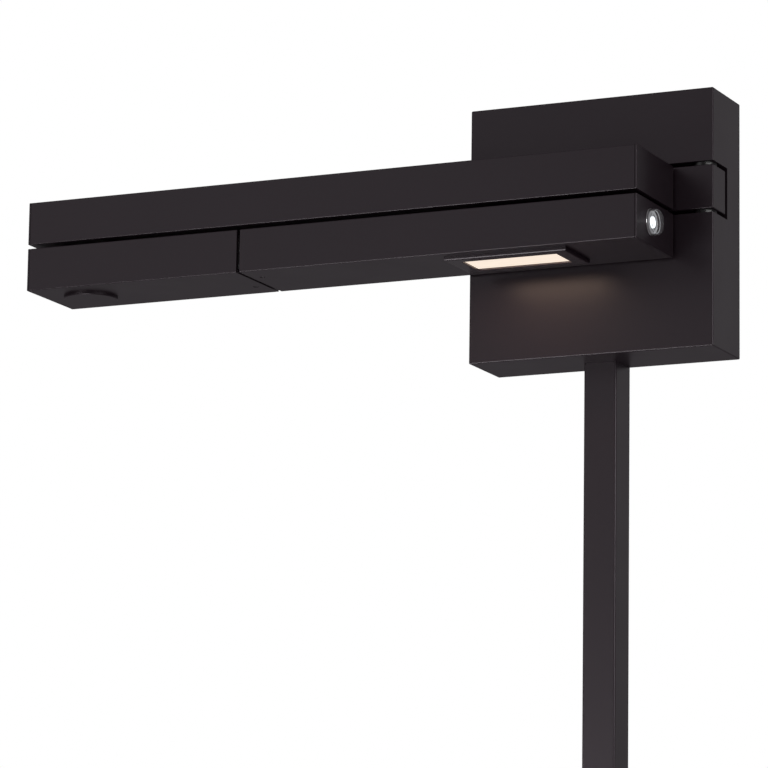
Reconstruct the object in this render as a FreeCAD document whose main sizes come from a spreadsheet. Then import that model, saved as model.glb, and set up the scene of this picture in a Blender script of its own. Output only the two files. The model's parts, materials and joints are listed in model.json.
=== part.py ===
"""A folding wall-mounted picture light with a surface cord cover, as a parametric FreeCAD document.

Frame: the wall is the plane Y = 0 and the lamp stands off it towards -Y. +X runs to the right along
the wall and +Z up. The origin is the centre of the wall plate's back. All sizes are in millimetres.

Five rigid groups move against each other:
  the wall plate with its cord cover, fixed to the wall;
  the upper arm, which swings on a vertical pin in the plate's right front corner;
  the elbow, which folds out from under the upper arm on a vertical axle;
  the head, which rolls about its own length on a hollow shaft;
  the push button in the head's end.
"""
import FreeCAD, Part
import math
import os
import re

import Sketcher
from FreeCAD import Rotation, Vector

SIZES = {
    # wall plate, a thin box that is open towards the wall
    "plate_width": 120.0,
    "plate_height": 120.0,
    "plate_depth": 34.0,
    "plate_wall": 2.0,
    "plate_round": 0.6,
    # recess for the swing knuckle in the plate's right front corner
    "knuckle_left": 15.0,
    "knuckle_depth": 16.0,
    "knuckle_gap": 1.9,
    "knuckle_back_gap": 2.0,
    "recess_wall": 3.0,
    "recess_side_gap": 2.0,
    "knuckle_round": 0.5,
    "knuckle_corner": 1.2,
    # swing pin and what holds it
    "pivot_inset": 6.5,
    "pivot_radius": 3.0,
    "pivot_bore": 1.9,
    "pivot_tail": 8.0,
    "pivot_head_radius": 4.4,
    "pivot_head": 1.6,
    "pivot_bore_top": 20.0,
    "window_low": 10.0,
    "window_high": 18.0,
    "window_size": 5.0,
    "window_reach": 1.3,
    "collar_radius": 5.5,
    "bush_radius": 4.6,
    "bush_length": 6.0,
    "pivot_nut_flats": 7.6,
    "nut_height": 3.0,
    "wave_washer": 0.8,
    # clearances
    "running_gap": 0.05,
    "fixed_gap": 0.02,
    "face_gap": 0.05,
    # arm: two bars of one section, one above the other
    "arm_end": 41.5,
    "arm_length": 309.3,
    "arm_depth": 44.7,
    "arm_clear": 1.9,
    "bar_height": 20.3,
    "bar_gap": 1.95,
    "upper_bottom": 3.65,
    "bar_wall": 2.0,
    "bar_round": 0.4,
    "cap_thickness": 1.1,
    "cap_seam": 0.2,
    "cap_round": 0.3,
    "plug_length": 6.0,
    "plug_wall": 1.5,
    "plug_gap": 0.1,
    "elbow_length": 110.5,
    "split_gap": 1.7,
    # screws that clamp the upper bar to the knuckle
    "clamp_x_left": 20.0,
    "clamp_x_right": 30.5,
    "clamp_rise": 4.2,
    "clamp_radius": 2.0,
    "clamp_hole": 2.05,
    "clamp_head_radius": 3.5,
    "clamp_head": 4.0,
    "clamp_reach": 10.0,
    "clamp_socket_flats": 3.0,
    "clamp_socket_depth": 2.2,
    "spacer_width": 20.0,
    "spacer_height": 16.0,
    "lead_hole": 2.0,
    # elbow axle
    "axle_radius": 6.0,
    "axle_bore": 3.0,
    "axle_top": 9.5,
    "axle_flange_radius": 8.5,
    "axle_flange": 2.0,
    "axle_flange_low": -5.5,
    "axle_nut_flats": 17.0,
    "elbow_bush_radius": 7.5,
    "elbow_bush_flange_radius": 9.5,
    "elbow_bush_flange": 0.6,
    "thrust_radius": 14.0,
    "friction_radius": 9.2,
    "friction_thick": 0.9,
    "spring_washer_thick": 1.2,
    "disc_radius": 12.75,
    "disc_proud": 1.5,
    "disc_plug_radius": 11.9,
    "disc_hole_radius": 12.0,
    "disc_plug": 4.0,
    # roll joint between the elbow and the head
    "bulkhead_length": 14.0,
    "roll_radius": 5.0,
    "roll_bore": 2.5,
    "roll_flange_radius": 7.0,
    "roll_flange": 2.5,
    "roll_bush_radius": 6.5,
    "roll_washer_radius": 9.0,
    "roll_nut_flats": 13.0,
    "roll_nut": 3.0,
    "roll_tail": 1.5,
    "grub_radius": 1.25,
    "grub_length": 4.0,
    "grub_recess": 0.3,
    "grub_inset": 5.2,
    "grub_offset": 8.8,
    # light unit in the head's underside
    "bezel_left": -54.2,
    "bezel_width": 59.5,
    "bezel_depth": 28.7,
    "bezel_forward": 3.0,
    "bezel_proud": 2.0,
    "bezel_round": 0.8,
    "neck_inset": 2.1,
    "neck_height": 4.4,
    "window_width": 46.2,
    "window_depth": 18.2,
    "window_chamfer": 0.15,
    "diffuser_ledge": 0.8,
    "diffuser_gap": 0.1,
    "diffuser_recess": 0.7,
    "diffuser_lower": 1.5,
    "diffuser_upper": 1.0,
    "board_thick": 1.6,
    "board_margin": 2.2,
    "chip_width": 3.0,
    "chip_height": 0.7,
    "chip_pitch": 7.6,
    "chip_row_gap": 7.0,
    "sink_base": 2.5,
    "fin_length": 42.0,
    "fin_thick": 1.2,
    "fin_height": 8.2,
    "fin_pitch": 3.4,
    "board_screw_x": 25.6,
    "board_screw_y": 8.0,
    "board_screw_radius": 1.2,
    "board_screw_hole": 1.25,
    "board_screw_head": 1.9,
    "board_screw_head_high": 1.8,
    "board_screw_reach": 3.0,
    # push button in the head's end
    "button_forward": 6.0,
    "button_flange_radius": 6.4,
    "button_flange": 0.9,
    "button_neck_radius": 6.1,
    "button_neck": 7.5,
    "button_web": 2.0,
    "button_bore": 5.95,
    "button_cap_radius": 5.88,
    "button_cap_rear": 2.5,
    "button_proud": 4.8,
    "button_dome": 1.6,
    "button_wall": 0.5,
    "guide_radius": 2.7,
    "guide_hole": 2.8,
    "guide_front": 1.3,
    "guide_proud": 0.2,
    "guide_length": 12.8,
    "button_clip_radius": 3.9,
    "button_clip": 0.8,
    "spring_radius": 4.2,
    "spring_wire": 0.3,
    "spring_half_turns": 5,
    "switch_width": 12.0,
    "switch_depth": 13.0,
    "switch_height": 12.0,
    "switch_front": 28.9,
    "switch_plunger": 1.6,
    # wall bracket
    "bracket_width": 100.0,
    "bracket_height": 115.2,
    "bracket_thick": 2.0,
    "tab_width": 16.0,
    "tab_length": 12.0,
    "tab_x": 35.0,
    "slot_x": 41.65,
    "slot_radius": 2.6,
    "slot_length": 12.0,
    "wire_hole_z": 32.0,
    "wire_hole_radius": 13.0,
    "canopy_screw_radius": 1.5,
    "canopy_screw_hole": 1.55,
    "canopy_screw_length": 6.0,
    "canopy_screw_y": 8.0,
    "earth_x": 20.0,
    "earth_z": -20.0,
    "earth_radius": 2.0,
    "earth_head_radius": 3.5,
    "earth_head": 2.4,
    # driver and terminal block inside the plate
    "driver_x": -33.0,
    "driver_z": -34.0,
    "driver_width": 42.0,
    "driver_height": 40.0,
    "driver_depth": 19.8,
    "driver_round": 2.0,
    "stud_offset_x": 17.0,
    "stud_offset_z": 16.0,
    "stud_radius": 1.5,
    "stud_hole": 1.7,
    "stud_length": 23.5,
    "stud_nut_flats": 5.5,
    "stud_nut": 2.4,
    "block_x": 22.0,
    "block_z": -40.0,
    "block_width": 24.0,
    "block_height": 12.0,
    "block_depth": 12.0,
    "block_pitch": 8.0,
    "block_wire_hole": 1.4,
    "block_wire_y": -7.0,
    "block_screw_hole": 1.7,
    "block_screw_well": 4.8,
    "block_screw_radius": 1.6,
    "block_screw_length": 3.0,
    # cord inlet and cord cover
    "cover_x": -1.9,
    "cover_width": 16.0,
    "cover_depth": 16.5,
    "cover_wall": 1.2,
    "cover_round": 0.8,
    "cover_length": 305.0,
    "cover_base_width": 13.4,
    "cover_base_thick": 1.5,
    "cover_lip_thick": 1.0,
    "cover_lip_high": 4.0,
    "cover_hole_radius": 2.1,
    "cover_hole_spacing": 245.0,
    "inlet_y": -8.8,
    "inlet_hole": 5.0,
    "inlet_neck": 4.95,
    "inlet_flange": 5.9,
    "inlet_flange_thick": 1.2,
    "inlet_bore": 3.2,
    # insulated leads
    "lead_radius": 1.0,
    "lead_bend": 3.0,
    "lead_wide_bend": 6.0,
    "lead_joint_gap": 0.4,
}

# Places and sizes that follow from the driving ones. Each is a formula on the sheet's names.
PLACES = {
    "half_width": "plate_width / 2",
    "half_height": "plate_height / 2",
    "pivot_x": "plate_width / 2 - pivot_inset",
    "pivot_y": "pivot_inset - plate_depth",
    "arm_left": "arm_end - arm_length",
    "arm_mid_y": "-(plate_depth + arm_clear + arm_depth / 2)",
    "arm_rear_y": "-(plate_depth + arm_clear)",
    "upper_mid_z": "upper_bottom + bar_height / 2",
    "upper_top": "upper_bottom + bar_height",
    "lower_top": "upper_bottom - bar_gap",
    "lower_mid_z": "upper_bottom - bar_gap - bar_height / 2",
    "lower_bottom": "upper_bottom - bar_gap - bar_height",
    "elbow_x": "arm_end - arm_length + arm_depth / 2",
    "split_left": "arm_end - arm_length + elbow_length",
    "head_left": "arm_end - arm_length + elbow_length + split_gap",
    "recess_low": "upper_bottom - knuckle_gap",
    "recess_high": "upper_bottom + bar_height + knuckle_gap",
    "recess_depth": "knuckle_depth + knuckle_back_gap",
    "recess_left": "knuckle_left - recess_side_gap",
    "knuckle_width": "plate_width / 2 - knuckle_left",
    "spacer_x": "(clamp_x_left + clamp_x_right) / 2",
    "inner_depth": "arm_depth - 2 * bar_wall",
    "inner_height": "bar_height - 2 * bar_wall",
    "inner_rear_y": "-(plate_depth + arm_clear + bar_wall)",
    "bezel_x": "bezel_left + bezel_width / 2",
    "bezel_y": "arm_mid_y - bezel_forward",
    "bezel_low": "lower_bottom - bezel_proud",
    "neck_top": "lower_bottom + neck_height",
    "board_top": "neck_top + face_gap + board_thick",
    "sink_top": "board_top + face_gap + sink_base",
    "board_width": "bezel_width - 2 * board_margin",
    "board_depth": "bezel_depth - 2 * board_margin",
    "button_y": "arm_mid_y - button_forward",
    "web_front": "arm_end - button_neck + button_web",
    "cap_rear_x": "arm_end - button_cap_rear",
    "cover_top": "-(plate_height / 2)",
    "cover_bottom": "-(plate_height / 2) - cover_length",
    "bracket_tab_z": "bracket_height / 2 - bracket_thick / 2",
}

ABOUT_X = Rotation(Vector(0, 1, 0), 90)
ABOUT_Y = Rotation(Vector(1, 0, 0), -90)
TOWARDS_ROOM = Rotation(Vector(1, 0, 0), 90)
DOWN = Rotation(Vector(1, 0, 0), 180)
HALF_TURN = Rotation(Vector(0, 0, 1), 180)

document = FreeCAD.newDocument("PictureLight")


# ---------------------------------------------------------------- sheet and expressions


def make_sheet():
    """The driving dimensions, one row each: name, value."""
    sheet = document.addObject("Spreadsheet::Sheet", "sizes")
    for row, (name, size) in enumerate(SIZES.items(), start=1):
        sheet.set("A%d" % row, name)
        sheet.set("B%d" % row, str(size))
        sheet.setAlias("B%d" % row, name)
    document.recompute()


def formula(text):
    """The same formula with each name replaced by its cell, or by its own formula."""

    def cell(match):
        name = match.group()
        if name in PLACES:
            return "(%s)" % formula(PLACES[name])
        if name in SIZES:
            return "sizes." + name
        raise KeyError("no size is called " + name)

    return re.sub(r"[a-z][a-z_]*", cell, text)


def value(text):
    """What a formula comes to now, in millimetres."""
    return float(document.sizes.evalExpression(formula(text)))


def bind(item, prop, text):
    """Ties one property to a formula."""
    item.setExpression(prop, formula(text))


def place(item, x, y, z, turn=None):
    """Gives an object its own placement, with its position tied to the sheet."""
    if turn is not None:
        item.Placement = FreeCAD.Placement(Vector(0, 0, 0), turn)
    for axis, text in zip("xyz", (x, y, z)):
        bind(item, "Placement.Base." + axis, text)


# ---------------------------------------------------------------- sketches


def new_body(label, x="0", y="0", z="0", turn=None):
    body = document.addObject("PartDesign::Body", label)
    body.Label = label
    place(body, x, y, z, turn)
    return body


def new_sketch(body, plane, u, v, lift):
    """A sketch on one of the body's own origin planes, moved by u and v in it and lifted off it."""
    sketch = body.newObject("Sketcher::SketchObject", body.Name + "_sketch")
    origin_plane = next(item for item in body.Origin.OriginFeatures if item.Role == plane)
    sketch.AttachmentSupport = (origin_plane, [""])
    sketch.MapMode = "FlatFace"
    for axis, text in zip("xyz", (u, v, lift)):
        bind(sketch, "AttachmentOffset.Base." + axis, text)
    return sketch


def constrain(sketch, name, text, *constraint):
    """Adds a dimension of its own name, tied to a formula."""
    index = sketch.addConstraint(Sketcher.Constraint(*constraint, value(text)))
    sketch.renameConstraint(index, name)
    bind(sketch, "Constraints." + name, text)


def rectangle(body, plane, wide, high, u="0", v="0", lift="0"):
    """A rectangle centred on the sketch's origin."""
    sketch = new_sketch(body, plane, u, v, lift)
    half_w = value(wide) / 2
    half_h = value(high) / 2
    corners = [
        Vector(-half_w, -half_h, 0),
        Vector(half_w, -half_h, 0),
        Vector(half_w, half_h, 0),
        Vector(-half_w, half_h, 0),
    ]
    for side in range(4):
        sketch.addGeometry(Part.LineSegment(corners[side], corners[(side + 1) % 4]), False)
    for side in range(4):
        sketch.addConstraint(Sketcher.Constraint("Coincident", side, 2, (side + 1) % 4, 1))
        direction = "Horizontal" if side % 2 == 0 else "Vertical"
        sketch.addConstraint(Sketcher.Constraint(direction, side))
    sketch.addConstraint(Sketcher.Constraint("Symmetric", 0, 1, 1, 2, -1, 1))
    constrain(sketch, "wide", wide, "DistanceX", 0, 1, 0, 2)
    constrain(sketch, "high", high, "DistanceY", 1, 1, 1, 2)
    return sketch


def circle(body, plane, radius, u="0", v="0", lift="0"):
    """A circle on the sketch's origin."""
    sketch = new_sketch(body, plane, u, v, lift)
    sketch.addGeometry(Part.Circle(Vector(0, 0, 0), Vector(0, 0, 1), value(radius)), False)
    sketch.addConstraint(Sketcher.Constraint("Coincident", 0, 3, -1, 1))
    constrain(sketch, "radius", radius, "Radius", 0)
    return sketch


def slot(body, plane, length, radius, u="0", v="0", lift="0"):
    """A slot with round ends, level and centred on the sketch's origin."""
    sketch = new_sketch(body, plane, u, v, lift)
    end = value(radius)
    reach = value(length) / 2 - end
    normal = Vector(0, 0, 1)
    right = Part.Circle(Vector(reach, 0, 0), normal, end)
    left = Part.Circle(Vector(-reach, 0, 0), normal, end)
    sketch.addGeometry(Part.ArcOfCircle(right, -math.pi / 2, math.pi / 2), False)
    sketch.addGeometry(Part.ArcOfCircle(left, math.pi / 2, 3 * math.pi / 2), False)
    sketch.addGeometry(Part.LineSegment(Vector(reach, end, 0), Vector(-reach, end, 0)), False)
    sketch.addGeometry(Part.LineSegment(Vector(-reach, -end, 0), Vector(reach, -end, 0)), False)
    for first, first_end, second, second_end in ((0, 2, 2, 1), (2, 2, 1, 1), (1, 2, 3, 1), (3, 2, 0, 1)):
        sketch.addConstraint(
            Sketcher.Constraint("Tangent", first, first_end, second, second_end)
        )
    sketch.addConstraint(Sketcher.Constraint("Symmetric", 0, 3, 1, 3, -1, 1))
    sketch.addConstraint(Sketcher.Constraint("Horizontal", 2))
    constrain(sketch, "radius", radius, "Radius", 0)
    constrain(sketch, "reach", "(%s) / 2 - (%s)" % (length, radius), "DistanceX", -1, 1, 0, 3)
    return sketch


# ---------------------------------------------------------------- features


def pad(body, sketch, length, backwards=False):
    feature = body.newObject("PartDesign::Pad", body.Name + "_pad")
    feature.Profile = sketch
    bind(feature, "Length", length)
    feature.Reversed = backwards
    sketch.Visibility = False
    return feature


def pocket(body, sketch, length=None, backwards=False):
    """Cuts the sketch through the body: to a length, or right through both ways."""
    document.recompute()
    before = body.Tip.Shape.Volume
    feature = body.newObject("PartDesign::Pocket", body.Name + "_pocket")
    feature.Profile = sketch
    if length is None:
        feature.Type = "ThroughAll"
        feature.SideType = "Symmetric"
    else:
        bind(feature, "Length", length)
        feature.Reversed = backwards
    document.recompute()
    if feature.Shape.Volume > before - 0.01:
        raise RuntimeError("%s: a pocket cuts nothing" % body.Label)
    return feature


def dress(body, kind, prop, size, pick):
    """A fillet or chamfer on the edges of the body that pick accepts."""
    document.recompute()
    base = body.Tip
    names = ["Edge%d" % (i + 1) for i, edge in enumerate(base.Shape.Edges) if pick(edge)]
    if not names:
        raise RuntimeError("%s: no edge to round" % body.Label)
    feature = body.newObject("PartDesign::" + kind, body.Name + "_" + kind.lower())
    feature.Base = (base, names)
    bind(feature, prop, size)
    document.recompute()
    return feature


def fillet(body, radius, pick):
    return dress(body, "Fillet", "Radius", radius, pick)


def chamfer(body, size, pick):
    return dress(body, "Chamfer", "Size", size, pick)


def runs_along(edge, axis):
    """Whether a straight edge runs along one axis (0, 1 or 2)."""
    if len(edge.Vertexes) != 2:
        return False
    step = edge.Vertexes[1].Point - edge.Vertexes[0].Point
    return abs(abs(step[axis]) - edge.Length) < 1e-6


# ---------------------------------------------------------------- primitives and booleans


def box(label, size, low):
    """A block from its three sizes and its lowest corner."""
    block = document.addObject("Part::Box", label)
    for prop, text in zip(("Length", "Width", "Height"), size):
        bind(block, prop, text)
    place(block, *low)
    return block


def rod(label, radius, length, start, turn=None):
    """A cylinder from one end along +Z, or along the way that turn gives."""
    cylinder = document.addObject("Part::Cylinder", label)
    bind(cylinder, "Radius", radius)
    bind(cylinder, "Height", length)
    place(cylinder, *start, turn)
    return cylinder


def hexagon(label, flats, length, start, turn=None):
    """A six-sided prism from its width across flats."""
    prism = document.addObject("Part::Prism", label)
    prism.Polygon = 6
    bind(prism, "Circumradius", "(%s) / 2 / %.6f" % (flats, math.cos(math.pi / 6)))
    bind(prism, "Height", length)
    place(prism, *start, turn)
    return prism


def cut(label, base, tool):
    result = document.addObject("Part::Cut", label)
    result.Base = base
    result.Tool = tool
    return result


def fuse(label, shapes):
    result = document.addObject("Part::MultiFuse", label)
    result.Shapes = shapes
    return result


def group(label, members):
    """Identical pieces that share one node, each a solid of its own."""
    together = document.addObject("Part::Compound", label)
    together.Label = label
    together.Links = members
    return together


def named(label, item):
    item.Label = label
    return item


def turned(label, steps, bore, x, y, z, turn=None):
    """A turned piece: round steps, one after the other along its own Z, and a bore through them."""
    body = new_body(label, x, y, z, turn)
    lift = "0"
    for radius, length in steps:
        pad(body, circle(body, "XY_Plane", radius, lift=lift), length)
        lift = "%s + %s" % (lift, length)
    if bore:
        pocket(body, circle(body, "XY_Plane", bore))
    return body


def ring(label, outer, inner, length, x, y, z, turn=None):
    return turned(label, [(outer, length)], inner, x, y, z, turn)


def nut(label, flats, hole, length, x, y, z, turn=None):
    """A hexagon nut."""
    blank = hexagon(label + "_blank", flats, length, (x, y, z), turn)
    drill = rod(label + "_hole", hole, length, (x, y, z), turn)
    return named(label, cut(label, blank, drill))


def screw(label, steps, socket, x, y, z, turn):
    """A screw from its head's top inwards: head, then shank. socket is (flats, depth)."""
    blanks = []
    offset = Vector(0, 0, 0)
    for number, (radius, length) in enumerate(steps):
        shift = turn.multVec(offset)
        start = ["%s + %.6f" % (text, step) for text, step in zip((x, y, z), shift)]
        blanks.append(rod("%s_step%d" % (label, number), radius, length, start, turn))
        offset = offset + Vector(0, 0, value(length))
    blank = fuse(label + "_blank", blanks) if len(blanks) > 1 else blanks[0]
    key = hexagon(label + "_key", socket[0], socket[1], (x, y, z), turn)
    return named(label, cut(label, blank, key))


# ---------------------------------------------------------------- leads


def swept(label, edges, radius, place_at=FreeCAD.Placement()):
    """A round rod along edges that join smoothly."""
    path = Part.Wire(edges)
    start = edges[0].valueAt(edges[0].FirstParameter)
    way = edges[0].tangentAt(edges[0].FirstParameter)
    section = Part.Wire([Part.Circle(start, way, radius).toShape()])
    item = document.addObject("Part::Feature", label)
    item.Label = label
    item.Shape = path.makePipeShell([section], True, False)
    item.Placement = place_at
    expected = path.Length * math.pi * radius**2
    if abs(item.Shape.Volume - expected) > 0.02 * expected:
        raise RuntimeError("%s: its volume is off" % label)
    return item


def lead(label, points, bend):
    """An insulated lead along straight runs joined by tangent arcs."""
    corners = [Vector(*[value(text) for text in point]) for point in points]
    radius = value(bend)
    edges = []
    start = corners[0]
    for before, corner, after in zip(corners, corners[1:], corners[2:]):
        inward = (before - corner).normalize()
        outward = (after - corner).normalize()
        half = inward.getAngle(outward) / 2
        reach = radius / math.tan(half)
        first = corner + inward * reach
        last = corner + outward * reach
        middle_way = (inward + outward).normalize()
        middle = corner + middle_way * (radius / math.sin(half) - radius)
        edges.append(Part.LineSegment(start, first).toShape())
        edges.append(Part.Arc(first, middle, last).toShape())
        start = last
    edges.append(Part.LineSegment(start, corners[-1]).toShape())
    return swept(label, edges, value("lead_radius"))


# ---------------------------------------------------------------- wall plate group


def canopy_shell():
    """The wall plate: a box open at the back, with a recess in its right front corner."""
    body = new_body("canopy_shell")
    pad(body, rectangle(body, "XZ_Plane", "plate_width", "plate_height"), "plate_depth")
    fillet(body, "plate_round", lambda edge: edge.BoundBox.YMin < -1)
    inside = "plate_depth - plate_wall"
    cavity = rectangle(
        body, "XZ_Plane", "plate_width - 2 * plate_wall", "plate_height - 2 * plate_wall", lift=inside
    )
    pocket(body, cavity, inside)
    left = "(recess_left - recess_wall)"
    right = "(half_width - plate_wall / 2)"
    lining = rectangle(
        body,
        "XZ_Plane",
        right + " - " + left,
        "recess_high - recess_low + 2 * recess_wall",
        u="(%s + %s) / 2" % (left, right),
        v="upper_mid_z",
        lift="plate_depth - recess_depth - recess_wall",
    )
    pad(body, lining, "recess_depth + recess_wall - plate_wall / 2")
    overshoot = "plate_wall * 2"
    recess = rectangle(
        body,
        "XZ_Plane",
        "half_width + %s - recess_left" % overshoot,
        "recess_high - recess_low",
        u="(half_width + %s + recess_left) / 2" % overshoot,
        v="upper_mid_z",
        lift="plate_depth + " + overshoot,
    )
    pocket(body, recess, "recess_depth + " + overshoot)
    pin_hole = circle(
        body,
        "XY_Plane",
        "pivot_radius + fixed_gap",
        u="pivot_x",
        v="pivot_y",
        lift="recess_high + 2 * recess_wall",
    )
    pocket(body, pin_hole, "recess_high - recess_low + 4 * recess_wall")
    inlet = circle(
        body, "XY_Plane", "inlet_hole", u="cover_x", v="inlet_y", lift="cover_top + 2 * plate_wall"
    )
    pocket(body, inlet, "3 * plate_wall")
    for side in ("-", ""):
        grub = circle(
            body,
            "XY_Plane",
            "canopy_screw_hole",
            u=side + "tab_x",
            v="-canopy_screw_y",
            lift="half_height + plate_wall",
        )
        pocket(body, grub, "3 * plate_wall")
    return body


def wall_bracket():
    """The steel bracket behind the plate, with slots for the wall box and tabs for the plate."""
    body = new_body("wall_bracket")
    pad(body, rectangle(body, "XZ_Plane", "bracket_width", "bracket_height"), "bracket_thick")
    for level in ("-", ""):
        for side in ("-", ""):
            tab = rectangle(
                body,
                "XZ_Plane",
                "tab_width",
                "bracket_thick",
                u=side + "tab_x",
                v=level + "(bracket_tab_z)",
                lift="bracket_thick",
            )
            pad(body, tab, "tab_length")
    for side in ("-", ""):
        pocket(body, slot(body, "XZ_Plane", "slot_length", "slot_radius", u=side + "slot_x"))
        grub = circle(
            body,
            "XY_Plane",
            "canopy_screw_hole",
            u=side + "tab_x",
            v="-canopy_screw_y",
            lift="half_height",
        )
        pocket(body, grub, "3 * plate_wall")
    pocket(body, circle(body, "XZ_Plane", "wire_hole_radius", v="wire_hole_z"))
    earth = circle(body, "XZ_Plane", "earth_radius + running_gap", u="earth_x", v="earth_z")
    pocket(body, earth)
    return body


def canopy_screws():
    """Grub screws through the plate's top edge into the bracket's tabs."""
    screws = [
        screw(
            "canopy_screw_" + name,
            [("canopy_screw_radius", "canopy_screw_length")],
            ("canopy_screw_radius", "canopy_screw_radius"),
            side + "tab_x",
            "-canopy_screw_y",
            "half_height - plate_wall / 8",
            DOWN,
        )
        for name, side in (("left", "-"), ("right", ""))
    ]
    return group("canopy_screws", screws)


def earth_screw():
    steps = [("earth_head_radius", "earth_head"), ("earth_radius", "bracket_thick - face_gap")]
    return screw(
        "earth_screw",
        steps,
        ("earth_radius * 1.5", "earth_head / 2"),
        "earth_x",
        "-(bracket_thick + earth_head)",
        "earth_z",
        ABOUT_Y,
    )


def driver_case():
    """The LED driver's plastic case, with two holes for its studs."""
    body = new_body("driver_case")
    front = "plate_depth - plate_wall - face_gap"
    outline = rectangle(
        body,
        "XZ_Plane",
        "driver_width",
        "driver_height",
        u="driver_x",
        v="driver_z",
        lift=front + " - driver_depth",
    )
    pad(body, outline, "driver_depth")
    fillet(body, "driver_round", lambda edge: runs_along(edge, 1))
    for side in ("+", "-"):
        hole = circle(
            body,
            "XZ_Plane",
            "stud_hole",
            u="driver_x %s stud_offset_x" % side,
            v="driver_z %s stud_offset_z" % side,
        )
        pocket(body, hole)
    return body


def driver_studs():
    studs = [
        rod(
            "driver_stud_" + name,
            "stud_radius",
            "stud_length",
            (
                "driver_x %s stud_offset_x" % side,
                "-(plate_depth - plate_wall)",
                "driver_z %s stud_offset_z" % side,
            ),
            ABOUT_Y,
        )
        for name, side in (("upper", "+"), ("lower", "-"))
    ]
    return group("driver_studs", studs)


def driver_nuts():
    rear = "-(plate_depth - plate_wall - driver_depth - 2 * face_gap)"
    nuts = [
        nut(
            "driver_nut_" + name,
            "stud_nut_flats",
            "stud_radius + fixed_gap",
            "stud_nut",
            "driver_x %s stud_offset_x" % side,
            rear,
            "driver_z %s stud_offset_z" % side,
            ABOUT_Y,
        )
        for name, side in (("upper", "+"), ("lower", "-"))
    ]
    return group("driver_nuts", nuts)


def terminal_block():
    """A three-way connector: wires enter along Z, and screws clamp them from the front."""
    body = new_body("terminal_block", "block_x", "-bracket_thick", "block_z")
    pad(body, rectangle(body, "XZ_Plane", "block_width", "block_height"), "block_depth")
    fillet(body, "bar_round", lambda edge: runs_along(edge, 1))
    for way in ("-block_pitch", "0", "block_pitch"):
        wire = circle(body, "XY_Plane", "block_wire_hole", u=way, v="block_wire_y + bracket_thick")
        pocket(body, wire)
        well = circle(body, "XZ_Plane", "block_screw_hole", u=way, lift="block_depth")
        pocket(body, well, "block_screw_well")
    return body


def terminal_screws():
    screws = [
        rod(
            "terminal_screw_%d" % number,
            "block_screw_radius",
            "block_screw_length",
            ("block_x %s" % way, "-(bracket_thick + block_depth - block_screw_well)", "block_z"),
            TOWARDS_ROOM,
        )
        for number, way in enumerate(("- block_pitch", "+ 0", "+ block_pitch"))
    ]
    return group("terminal_screws", screws)


def swing_pivot_pin():
    """The hollow pin, with a head on top and a window where the lead leaves it for the knuckle."""
    bottom = "(recess_low - pivot_tail)"
    stem = "recess_high + recess_wall + face_gap - " + bottom
    steps = [("pivot_radius", stem), ("pivot_head_radius", "pivot_head")]
    body = turned("swing_pivot_pin", steps, None, "pivot_x", "pivot_y", bottom)
    bore = circle(body, "XY_Plane", "pivot_bore")
    pocket(body, bore, "pivot_bore_top - " + bottom, backwards=True)
    window = rectangle(
        body,
        "XY_Plane",
        "window_size",
        "window_size",
        u="window_reach - window_size / 2",
        v="window_reach - window_size / 2",
        lift="window_high - " + bottom,
    )
    pocket(body, window, "window_high - window_low")
    return body


def pivot_collars():
    """Two polished collars that carry the knuckle between the recess's floor and ceiling."""
    height = "knuckle_gap - face_gap"
    inner = "pivot_radius + fixed_gap"
    lower = ring("collar_lower", "collar_radius", inner, height, "pivot_x", "pivot_y", "recess_low")
    top = "recess_high - (%s)" % height
    upper = ring("collar_upper", "collar_radius", inner, height, "pivot_x", "pivot_y", top)
    return group("pivot_collars", [lower, upper])


def pivot_wave_washer():
    low = "recess_low - recess_wall - face_gap - wave_washer"
    return ring(
        "pivot_wave_washer",
        "pivot_nut_flats / 2",
        "pivot_radius + running_gap",
        "wave_washer",
        "pivot_x",
        "pivot_y",
        low,
    )


def pivot_nut():
    low = "recess_low - recess_wall - 2 * face_gap - wave_washer - nut_height"
    return nut(
        "pivot_nut",
        "pivot_nut_flats",
        "pivot_radius + fixed_gap",
        "nut_height",
        "pivot_x",
        "pivot_y",
        low,
    )


def cord_inlet_grommet():
    """The rubber ring that lines the plate's cord hole, over the top of the cord cover."""
    neck = "plate_wall"
    steps = [
        ("inlet_flange", "inlet_flange_thick"),
        ("inlet_neck", neck),
        ("inlet_flange", "inlet_flange_thick"),
    ]
    low = "cover_top - inlet_flange_thick"
    return turned("cord_inlet_grommet", steps, "inlet_bore", "cover_x", "inlet_y", low)


def cord_cover_front():
    """The snap-on cover: a deep channel that is open towards the wall."""
    body = new_body("cord_cover_front", "cover_x", "0", "cover_bottom")
    outline = rectangle(body, "XY_Plane", "cover_width", "cover_depth", v="-cover_depth / 2")
    pad(body, outline, "cover_length")
    fillet(
        body, "cover_round", lambda edge: runs_along(edge, 2) and edge.BoundBox.YMax < -1
    )
    channel = rectangle(
        body,
        "XY_Plane",
        "cover_width - 2 * cover_wall",
        "cover_depth",
        v="cover_wall - cover_depth / 2",
    )
    pocket(body, channel)
    return body


def cord_cover_base():
    """The strip that is screwed to the wall, with two lips that grip the cover."""
    body = new_body("cord_cover_base", "cover_x", "0", "cover_bottom")
    strip = rectangle(
        body, "XY_Plane", "cover_base_width", "cover_base_thick", v="-cover_base_thick / 2"
    )
    pad(body, strip, "cover_length")
    for side in ("-", ""):
        lip = rectangle(
            body,
            "XY_Plane",
            "cover_lip_thick",
            "cover_lip_high",
            u=side + "(cover_base_width - cover_lip_thick) / 2",
            v="-(cover_base_thick + cover_lip_high / 2)",
        )
        pad(body, lip, "cover_length")
    for side in ("-", "+"):
        hole = circle(
            body,
            "XZ_Plane",
            "cover_hole_radius",
            v="(cover_length %s cover_hole_spacing) / 2" % side,
        )
        pocket(body, hole)
    return body


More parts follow.
